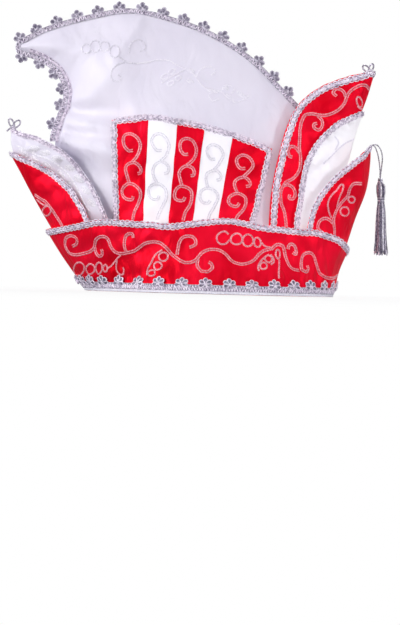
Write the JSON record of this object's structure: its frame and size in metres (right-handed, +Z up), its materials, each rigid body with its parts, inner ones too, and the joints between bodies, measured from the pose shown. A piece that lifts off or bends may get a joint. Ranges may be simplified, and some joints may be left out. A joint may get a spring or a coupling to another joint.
{
  "type": "carnival prince hat",
  "caption": "Tall satin carnival prince hat: hooked crown with striped sides, folded peaks at front and back, a turn-up band, silver trim and a tassel.",
  "frame": {"origin": "centre of the hat's bounding box without the tassel and its cord, on the surface that the rim rests on", "axes": "+X from the hooked front to the back, +Y to the wearer's right, +Z up"},
  "size_m": [0.3448, 0.1796, 0.2603],
  "materials": {
    "white_satin": "satin",
    "red_satin": "satin",
    "silver_thread": "metallic thread"
  },
  "bodies": {
    "root": {"crown": "white_satin", "front_inner_peak": "white_satin", "front_inner_braid": "silver_thread", "front_outer_peak": "red_satin", "front_outer_braid": "silver_thread", "back_inner_peak": "red_satin", "back_inner_braid": "silver_thread", "back_middle_peak": "white_satin", "back_middle_braid": "silver_thread", "back_outer_peak": "red_satin", "back_outer_braid": "silver_thread", "left_stripe_1": "red_satin", "left_stripe_2": "white_satin", "left_stripe_3": "red_satin", "left_stripe_4": "white_satin", "left_stripe_5": "red_satin", "left_panel_braid": "silver_thread", "right_stripe_1": "red_satin", "right_stripe_2": "white_satin", "right_stripe_3": "red_satin", "right_stripe_4": "white_satin", "right_stripe_5": "red_satin", "right_panel_braid": "silver_thread", "band": "red_satin", "band_braid": "silver_thread", "hem_trim": "silver_thread", "crest_trim": "silver_thread", "tassel_cord_a": "silver_thread", "tassel_cord_b": "silver_thread", "tassel": "silver_thread", "front_tip_bow": "silver_thread", "back_tip_bow": "silver_thread"}
  },
  "joints": []
}
